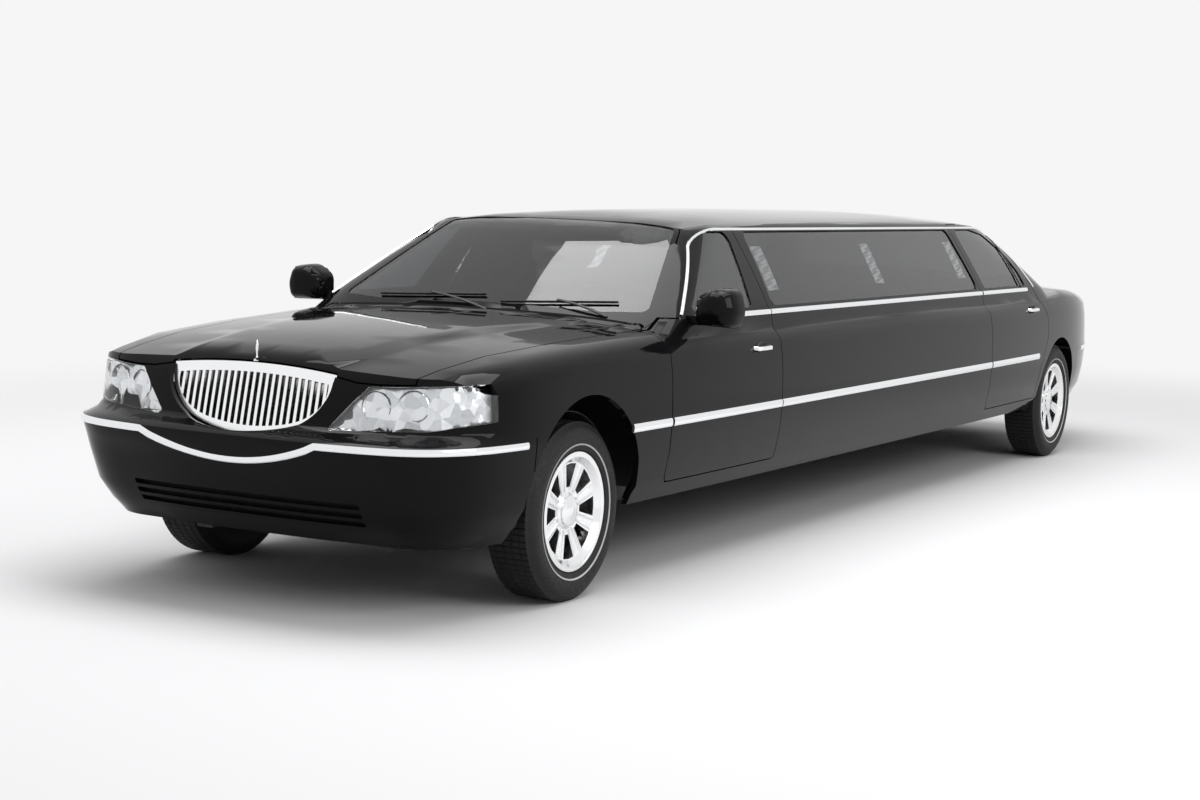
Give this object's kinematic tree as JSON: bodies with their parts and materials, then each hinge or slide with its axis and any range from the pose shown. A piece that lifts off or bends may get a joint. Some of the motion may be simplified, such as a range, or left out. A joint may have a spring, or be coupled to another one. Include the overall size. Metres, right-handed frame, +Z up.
{
  "type": "stretch limousine",
  "caption": "Long black six-window limousine with hollow cabin, opening doors, hood and boot lid, steered front wheels and turning wheels.",
  "frame": {"origin": "on the ground, at the middle of the length and width", "axes": "+X to the car's left, +Y to its rear, +Z up"},
  "size_m": [2.2832, 8.5193, 1.503],
  "materials": {
    "paint": "gloss black",
    "frame_black": "satin black",
    "glass": "smoked",
    "lamp_glass": "clear",
    "tail_red": "gloss",
    "chrome": "polished",
    "bright_alloy": "polished",
    "tyre": "matte",
    "iron": "rough",
    "steel": "dull",
    "leather": "soft",
    "trim": "matte",
    "wood": "varnished"
  },
  "bodies": {
    "car": {"body_side_left": "paint", "body_side_right": "paint", "roof_panel": "paint", "front_fenders": "paint", "cowl_panel": "paint", "deck_panel": "paint", "floor_pan": "frame_black", "chassis_frame": "frame_black", "front_structure": "frame_black", "front_bumper": "paint", "grille": "chrome", "headlamps": "lamp_glass", "rear_bumper": "paint", "tail_lamps": "tail_red", "body_glass": "glass", "front_seats": "leather", "lounge_seats": "leather", "bar_console": "wood", "dashboard": "trim", "partition": "trim", "powertrain": "iron", "front_suspension": "iron", "rear_axle": "iron", "exhaust": "steel"},
    "bonnet": {"hood": "paint"},
    "boot_lid": {"trunk_lid": "paint"},
    "steering": {"steering_wheel": "trim"},
    "front_door_left": {"door_front_left": "paint", "glass_front_left": "glass"},
    "rear_door_left": {"door_rear_left": "paint", "glass_rear_left": "glass"},
    "upright_left": {"knuckle_left": "iron"},
    "front_wheel_left": {"tyre_front_left": "tyre", "rim_front_left": "bright_alloy"},
    "rear_wheel_left": {"tyre_rear_left": "tyre", "rim_rear_left": "bright_alloy"},
    "front_door_right": {"door_front_right": "paint", "glass_front_right": "glass"},
    "rear_door_right": {"door_rear_right": "paint", "glass_rear_right": "glass"},
    "upright_right": {"knuckle_right": "iron"},
    "front_wheel_right": {"tyre_front_right": "tyre", "rim_front_right": "bright_alloy"},
    "rear_wheel_right": {"tyre_rear_right": "tyre", "rim_rear_right": "bright_alloy"}
  },
  "joints": [
    {"name": "front_door_left_hinge", "type": "hinge", "parent": "car", "child": "front_door_left", "pos_m": [0.99, -2.5795, 0.7], "axis": [0, 0, -1], "range_deg": [0, 65]},
    {"name": "rear_door_left_hinge", "type": "hinge", "parent": "car", "child": "rear_door_left", "pos_m": [0.99, 1.4055, 0.7], "axis": [0, 0, -1], "range_deg": [0, 65]},
    {"name": "steer_left", "type": "hinge", "parent": "car", "child": "upright_left", "pos_m": [0.79, -3.2295, 0.351], "axis": [0, 0, 1], "range_deg": [-35, 35]},
    {"name": "front_wheel_left_spin", "type": "hinge", "parent": "upright_left", "child": "front_wheel_left", "pos_m": [0.805, -3.2295, 0.351], "axis": [1, 0, 0], "continuous": true},
    {"name": "rear_wheel_left_spin", "type": "hinge", "parent": "car", "child": "rear_wheel_left", "pos_m": [0.832, 2.8085, 0.351], "axis": [1, 0, 0], "continuous": true},
    {"name": "front_door_right_hinge", "type": "hinge", "parent": "car", "child": "front_door_right", "pos_m": [-0.99, -2.5795, 0.7], "axis": [0, 0, 1], "range_deg": [0, 65]},
    {"name": "rear_door_right_hinge", "type": "hinge", "parent": "car", "child": "rear_door_right", "pos_m": [-0.99, 1.4055, 0.7], "axis": [0, 0, 1], "range_deg": [0, 65]},
    {"name": "steer_right", "type": "hinge", "parent": "car", "child": "upright_right", "pos_m": [-0.79, -3.2295, 0.351], "axis": [0, 0, 1], "range_deg": [-35, 35]},
    {"name": "front_wheel_right_spin", "type": "hinge", "parent": "upright_right", "child": "front_wheel_right", "pos_m": [-0.805, -3.2295, 0.351], "axis": [1, 0, 0], "continuous": true},
    {"name": "rear_wheel_right_spin", "type": "hinge", "parent": "car", "child": "rear_wheel_right", "pos_m": [-0.832, 2.8085, 0.351], "axis": [1, 0, 0], "continuous": true},
    {"name": "bonnet_hinge", "type": "hinge", "parent": "car", "child": "bonnet", "pos_m": [0, -2.42, 1.03], "axis": [-1, 0, 0], "range_deg": [0, 45]},
    {"name": "boot_lid_hinge", "type": "hinge", "parent": "car", "child": "boot_lid", "pos_m": [0, 2.788, 1.03], "axis": [1, 0, 0], "range_deg": [0, 70]},
    {"name": "steering_column", "type": "hinge", "parent": "car", "child": "steering", "pos_m": [0.43, -2.1102, 0.94], "axis": [0, 0.9468, 0.3219], "range_deg": [-560, 560]}
  ],
  "couplings": [
    {"joint": "steer_right", "follows": "steer_left", "ratio": 1},
    {"joint": "steering_column", "follows": "steer_left", "ratio": 16}
  ]
}
